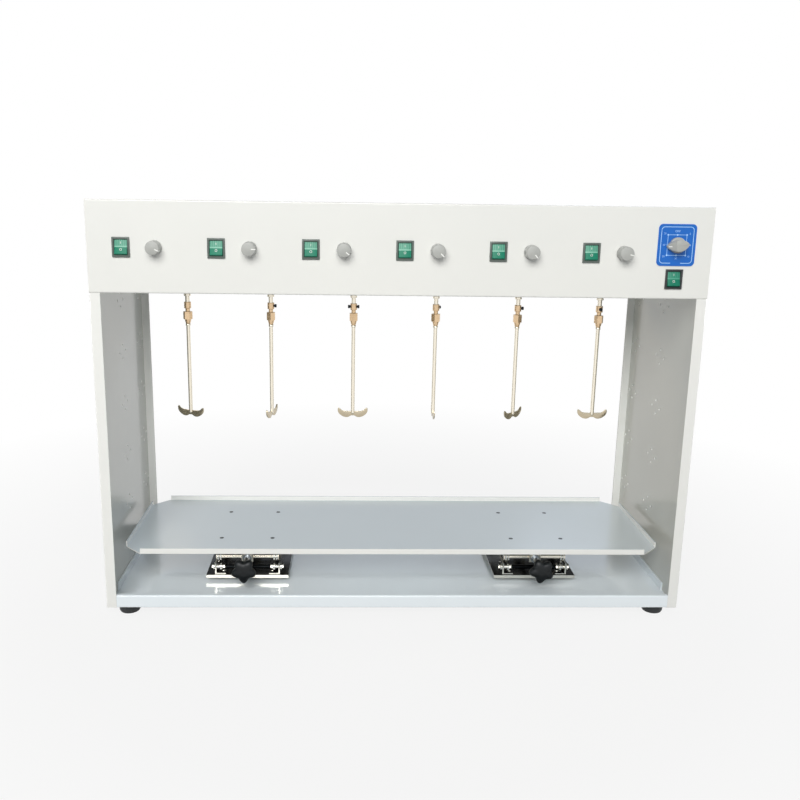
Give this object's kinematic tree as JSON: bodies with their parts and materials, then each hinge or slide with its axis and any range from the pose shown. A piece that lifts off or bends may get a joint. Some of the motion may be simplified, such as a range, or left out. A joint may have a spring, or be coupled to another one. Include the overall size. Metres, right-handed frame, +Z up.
{
  "type": "jar tester",
  "caption": "Laboratory jar tester: steel frame with a control head, stirring spindles with anchor blades, and a jar tray raised by scissor jacks",
  "frame": {"origin": "middle of the whole footprint, from the timer knob to the mains inlet, on the surface that the rubber feet stand on", "axes": "+X to the right seen from the front, +Y to the back, +Z up; the controls face -Y"},
  "size_m": [0.75, 0.2694, 0.535],
  "materials": {
    "white_enamel": "semi-gloss white paint",
    "black_rubber": "matte moulded rubber",
    "black_plastic": "gloss black plastic",
    "lit_rocker": "translucent lit green",
    "grey_knob": "satin grey plastic",
    "dial_blue": "blue printed plate",
    "brass": "turned brass",
    "steel": "bright stainless steel",
    "zinc": "zinc plated steel",
    "star_plastic": "black moulded plastic"
  },
  "bodies": {
    "frame": {"left_side_panel": "white_enamel", "right_side_panel": "white_enamel", "base_pan": "white_enamel", "head_shell": "white_enamel", "head_rear_cover": "white_enamel", "rubber_feet": "black_rubber", "switch_housings": "black_plastic", "control_spindles": "steel", "timer_plate": "dial_blue", "power_inlet": "black_plastic", "drive_motors": "zinc", "jack_rubber_pads": "black_rubber", "left_jack_base": "zinc", "right_jack_base": "zinc"},
    "station_switch_1": {"rocker_1": "lit_rocker"},
    "station_switch_2": {"rocker_2": "lit_rocker"},
    "station_switch_3": {"rocker_3": "lit_rocker"},
    "station_switch_4": {"rocker_4": "lit_rocker"},
    "station_switch_5": {"rocker_5": "lit_rocker"},
    "station_switch_6": {"rocker_6": "lit_rocker"},
    "master_switch": {"master_rocker": "lit_rocker"},
    "speed_dial_1": {"speed_knob_1": "grey_knob"},
    "speed_dial_2": {"speed_knob_2": "grey_knob"},
    "speed_dial_3": {"speed_knob_3": "grey_knob"},
    "speed_dial_4": {"speed_knob_4": "grey_knob"},
    "speed_dial_5": {"speed_knob_5": "grey_knob"},
    "speed_dial_6": {"speed_knob_6": "grey_knob"},
    "timer_dial": {"timer_knob": "grey_knob"},
    "spindle_1": {"chuck_1": "brass"},
    "paddle_1": {"stirrer_1": "steel"},
    "spindle_2": {"chuck_2": "brass"},
    "paddle_2": {"stirrer_2": "steel"},
    "spindle_3": {"chuck_3": "brass"},
    "paddle_3": {"stirrer_3": "steel"},
    "spindle_4": {"chuck_4": "brass"},
    "paddle_4": {"stirrer_4": "steel"},
    "spindle_5": {"chuck_5": "brass"},
    "paddle_5": {"stirrer_5": "steel"},
    "spindle_6": {"chuck_6": "brass"},
    "paddle_6": {"stirrer_6": "steel"},
    "left_lower_outer_arms": {"left_lower_outer_arms": "steel"},
    "left_lower_inner_arms": {"left_lower_inner_arms": "steel"},
    "left_upper_outer_arms": {"left_upper_outer_arms": "steel"},
    "left_upper_inner_arms": {"left_upper_inner_arms": "steel"},
    "left_screw_bar": {"left_screw_bar": "steel"},
    "left_nut_bar": {"left_nut_bar": "steel"},
    "left_screw": {"left_lead_screw": "steel", "left_jack_knob": "star_plastic"},
    "tray": {"tray": "white_enamel", "tray_screws": "zinc", "left_jack_top_plate": "zinc", "right_jack_top_plate": "zinc"},
    "right_lower_outer_arms": {"right_lower_outer_arms": "steel"},
    "right_lower_inner_arms": {"right_lower_inner_arms": "steel"},
    "right_upper_outer_arms": {"right_upper_outer_arms": "steel"},
    "right_upper_inner_arms": {"right_upper_inner_arms": "steel"},
    "right_screw_bar": {"right_screw_bar": "steel"},
    "right_nut_bar": {"right_nut_bar": "steel"},
    "right_screw": {"right_lead_screw": "steel", "right_jack_knob": "star_plastic"}
  },
  "joints": [
    {"name": "station_switch_1_tilt", "type": "hinge", "parent": "frame", "child": "station_switch_1", "pos_m": [-0.33425, -0.1152, 0.4795], "axis": [1, 0, 0], "range_deg": [0, 22]},
    {"name": "station_switch_2_tilt", "type": "hinge", "parent": "frame", "child": "station_switch_2", "pos_m": [-0.22175, -0.1152, 0.4795], "axis": [1, 0, 0], "range_deg": [0, 22]},
    {"name": "station_switch_3_tilt", "type": "hinge", "parent": "frame", "child": "station_switch_3", "pos_m": [-0.10925, -0.1152, 0.4795], "axis": [1, 0, 0], "range_deg": [0, 22]},
    {"name": "station_switch_4_tilt", "type": "hinge", "parent": "frame", "child": "station_switch_4", "pos_m": [0.00325, -0.1152, 0.4795], "axis": [1, 0, 0], "range_deg": [0, 22]},
    {"name": "station_switch_5_tilt", "type": "hinge", "parent": "frame", "child": "station_switch_5", "pos_m": [0.11575, -0.1152, 0.4795], "axis": [1, 0, 0], "range_deg": [0, 22]},
    {"name": "station_switch_6_tilt", "type": "hinge", "parent": "frame", "child": "station_switch_6", "pos_m": [0.22825, -0.1152, 0.4795], "axis": [1, 0, 0], "range_deg": [0, 22]},
    {"name": "master_switch_tilt", "type": "hinge", "parent": "frame", "child": "master_switch", "pos_m": [0.331, -0.1152, 0.449], "axis": [1, 0, 0], "range_deg": [0, 22]},
    {"name": "speed_dial_1_turn", "type": "hinge", "parent": "frame", "child": "speed_dial_1", "pos_m": [-0.29475, -0.1257, 0.4795], "axis": [0, 1, 0], "range_deg": [-265, 35]},
    {"name": "speed_dial_2_turn", "type": "hinge", "parent": "frame", "child": "speed_dial_2", "pos_m": [-0.18225, -0.1257, 0.4795], "axis": [0, 1, 0], "range_deg": [-240, 60]},
    {"name": "speed_dial_3_turn", "type": "hinge", "parent": "frame", "child": "speed_dial_3", "pos_m": [-0.06975, -0.1257, 0.4795], "axis": [0, 1, 0], "range_deg": [-280, 20]},
    {"name": "speed_dial_4_turn", "type": "hinge", "parent": "frame", "child": "speed_dial_4", "pos_m": [0.04275, -0.1257, 0.4795], "axis": [0, 1, 0], "range_deg": [-285, 15]},
    {"name": "speed_dial_5_turn", "type": "hinge", "parent": "frame", "child": "speed_dial_5", "pos_m": [0.15525, -0.1257, 0.4795], "axis": [0, 1, 0], "range_deg": [-290, 10]},
    {"name": "speed_dial_6_turn", "type": "hinge", "parent": "frame", "child": "speed_dial_6", "pos_m": [0.26775, -0.1257, 0.4795], "axis": [0, 1, 0], "range_deg": [-255, 45]},
    {"name": "timer_dial_turn", "type": "hinge", "parent": "frame", "child": "timer_dial", "pos_m": [0.331, -0.1257, 0.49], "axis": [0, 1, 0], "range_deg": [-261, 39]},
    {"name": "spindle_1_spin", "type": "hinge", "parent": "frame", "child": "spindle_1", "pos_m": [-0.28125, 0.0073, 0.395], "axis": [0, 0, 1], "continuous": true},
    {"name": "paddle_1_height", "type": "slide", "parent": "spindle_1", "child": "paddle_1", "axis": [0, 0, 1], "range_m": [0, 0.06]},
    {"name": "spindle_2_spin", "type": "hinge", "parent": "frame", "child": "spindle_2", "pos_m": [-0.16875, 0.0073, 0.395], "axis": [0, 0, 1], "continuous": true},
    {"name": "paddle_2_height", "type": "slide", "parent": "spindle_2", "child": "paddle_2", "axis": [0, 0, 1], "range_m": [0, 0.06]},
    {"name": "spindle_3_spin", "type": "hinge", "parent": "frame", "child": "spindle_3", "pos_m": [-0.05625, 0.0073, 0.395], "axis": [0, 0, 1], "continuous": true},
    {"name": "paddle_3_height", "type": "slide", "parent": "spindle_3", "child": "paddle_3", "axis": [0, 0, 1], "range_m": [0, 0.06]},
    {"name": "spindle_4_spin", "type": "hinge", "parent": "frame", "child": "spindle_4", "pos_m": [0.05625, 0.0073, 0.395], "axis": [0, 0, 1], "continuous": true},
    {"name": "paddle_4_height", "type": "slide", "parent": "spindle_4", "child": "paddle_4", "axis": [0, 0, 1], "range_m": [0, 0.06]},
    {"name": "spindle_5_spin", "type": "hinge", "parent": "frame", "child": "spindle_5", "pos_m": [0.16875, 0.0073, 0.395], "axis": [0, 0, 1], "continuous": true},
    {"name": "paddle_5_height", "type": "slide", "parent": "spindle_5", "child": "paddle_5", "axis": [0, 0, 1], "range_m": [0, 0.06]},
    {"name": "spindle_6_spin", "type": "hinge", "parent": "frame", "child": "spindle_6", "pos_m": [0.28125, 0.0073, 0.395], "axis": [0, 0, 1], "continuous": true},
    {"name": "paddle_6_height", "type": "slide", "parent": "spindle_6", "child": "paddle_6", "axis": [0, 0, 1], "range_m": [0, 0.06]},
    {"name": "left_lower_outer_arms_hinge", "type": "hinge", "parent": "frame", "child": "left_lower_outer_arms", "pos_m": [-0.201, 0.05864, 0.0349], "axis": [1, 0, 0], "range_deg": [-27, 0]},
    {"name": "left_lower_inner_arms_hinge", "type": "hinge", "parent": "left_lower_outer_arms", "child": "left_lower_inner_arms", "pos_m": [-0.201, 0.0123, 0.04274], "axis": [1, 0, 0], "range_deg": [0, 54]},
    {"name": "left_upper_outer_arms_hinge", "type": "hinge", "parent": "left_lower_inner_arms", "child": "left_upper_outer_arms", "pos_m": [-0.201, 0.05864, 0.05058], "axis": [1, 0, 0], "range_deg": [-54, 0]},
    {"name": "left_upper_inner_arms_hinge", "type": "hinge", "parent": "left_upper_outer_arms", "child": "left_upper_inner_arms", "pos_m": [-0.201, 0.0123, 0.05841], "axis": [1, 0, 0], "range_deg": [0, 54]},
    {"name": "left_screw_bar_hinge", "type": "hinge", "parent": "left_lower_outer_arms", "child": "left_screw_bar", "pos_m": [-0.201, -0.03404, 0.05058], "axis": [1, 0, 0], "range_deg": [0, 27]},
    {"name": "left_nut_bar_hinge", "type": "hinge", "parent": "left_lower_inner_arms", "child": "left_nut_bar", "pos_m": [-0.201, 0.05864, 0.05058], "axis": [1, 0, 0], "range_deg": [-27, 0]},
    {"name": "left_screw_turn", "type": "hinge", "parent": "left_screw_bar", "child": "left_screw", "pos_m": [-0.201, -0.03404, 0.05058], "axis": [0, 1, 0], "range_deg": [0, 1080]},
    {"name": "tray_hinge", "type": "hinge", "parent": "left_upper_inner_arms", "child": "tray", "pos_m": [-0.201, 0.05864, 0.06625], "axis": [1, 0, 0], "range_deg": [-27, 0]},
    {"name": "right_lower_outer_arms_hinge", "type": "hinge", "parent": "frame", "child": "right_lower_outer_arms", "pos_m": [0.201, 0.05864, 0.0349], "axis": [1, 0, 0], "range_deg": [-27, 0]},
    {"name": "right_lower_inner_arms_hinge", "type": "hinge", "parent": "right_lower_outer_arms", "child": "right_lower_inner_arms", "pos_m": [0.201, 0.0123, 0.04274], "axis": [1, 0, 0], "range_deg": [0, 54]},
    {"name": "right_upper_outer_arms_hinge", "type": "hinge", "parent": "right_lower_inner_arms", "child": "right_upper_outer_arms", "pos_m": [0.201, 0.05864, 0.05058], "axis": [1, 0, 0], "range_deg": [-54, 0]},
    {"name": "right_upper_inner_arms_hinge", "type": "hinge", "parent": "right_upper_outer_arms", "child": "right_upper_inner_arms", "pos_m": [0.201, 0.0123, 0.05841], "axis": [1, 0, 0], "range_deg": [0, 54]},
    {"name": "right_screw_bar_hinge", "type": "hinge", "parent": "right_lower_outer_arms", "child": "right_screw_bar", "pos_m": [0.201, -0.03404, 0.05058], "axis": [1, 0, 0], "range_deg": [0, 27]},
    {"name": "right_nut_bar_hinge", "type": "hinge", "parent": "right_lower_inner_arms", "child": "right_nut_bar", "pos_m": [0.201, 0.05864, 0.05058], "axis": [1, 0, 0], "range_deg": [-27, 0]},
    {"name": "right_screw_turn", "type": "hinge", "parent": "right_screw_bar", "child": "right_screw", "pos_m": [0.201, -0.03404, 0.05058], "axis": [0, 1, 0], "range_deg": [0, 1080]}
  ],
  "couplings": [
    {"joint": "left_lower_inner_arms_hinge", "follows": "left_lower_outer_arms_hinge", "ratio": -2},
    {"joint": "left_upper_outer_arms_hinge", "follows": "left_lower_outer_arms_hinge", "ratio": 2},
    {"joint": "left_upper_inner_arms_hinge", "follows": "left_lower_outer_arms_hinge", "ratio": -2},
    {"joint": "left_screw_bar_hinge", "follows": "left_lower_outer_arms_hinge", "ratio": -1},
    {"joint": "left_nut_bar_hinge", "follows": "left_lower_outer_arms_hinge", "ratio": 1},
    {"joint": "left_screw_turn", "follows": "left_lower_outer_arms_hinge", "ratio": -40},
    {"joint": "tray_hinge", "follows": "left_lower_outer_arms_hinge", "ratio": 1},
    {"joint": "right_lower_outer_arms_hinge", "follows": "left_lower_outer_arms_hinge", "ratio": 1},
    {"joint": "right_lower_inner_arms_hinge", "follows": "left_lower_outer_arms_hinge", "ratio": -2},
    {"joint": "right_upper_outer_arms_hinge", "follows": "left_lower_outer_arms_hinge", "ratio": 2},
    {"joint": "right_upper_inner_arms_hinge", "follows": "left_lower_outer_arms_hinge", "ratio": -2},
    {"joint": "right_screw_bar_hinge", "follows": "left_lower_outer_arms_hinge", "ratio": -1},
    {"joint": "right_nut_bar_hinge", "follows": "left_lower_outer_arms_hinge", "ratio": 1},
    {"joint": "right_screw_turn", "follows": "left_lower_outer_arms_hinge", "ratio": -40}
  ]
}
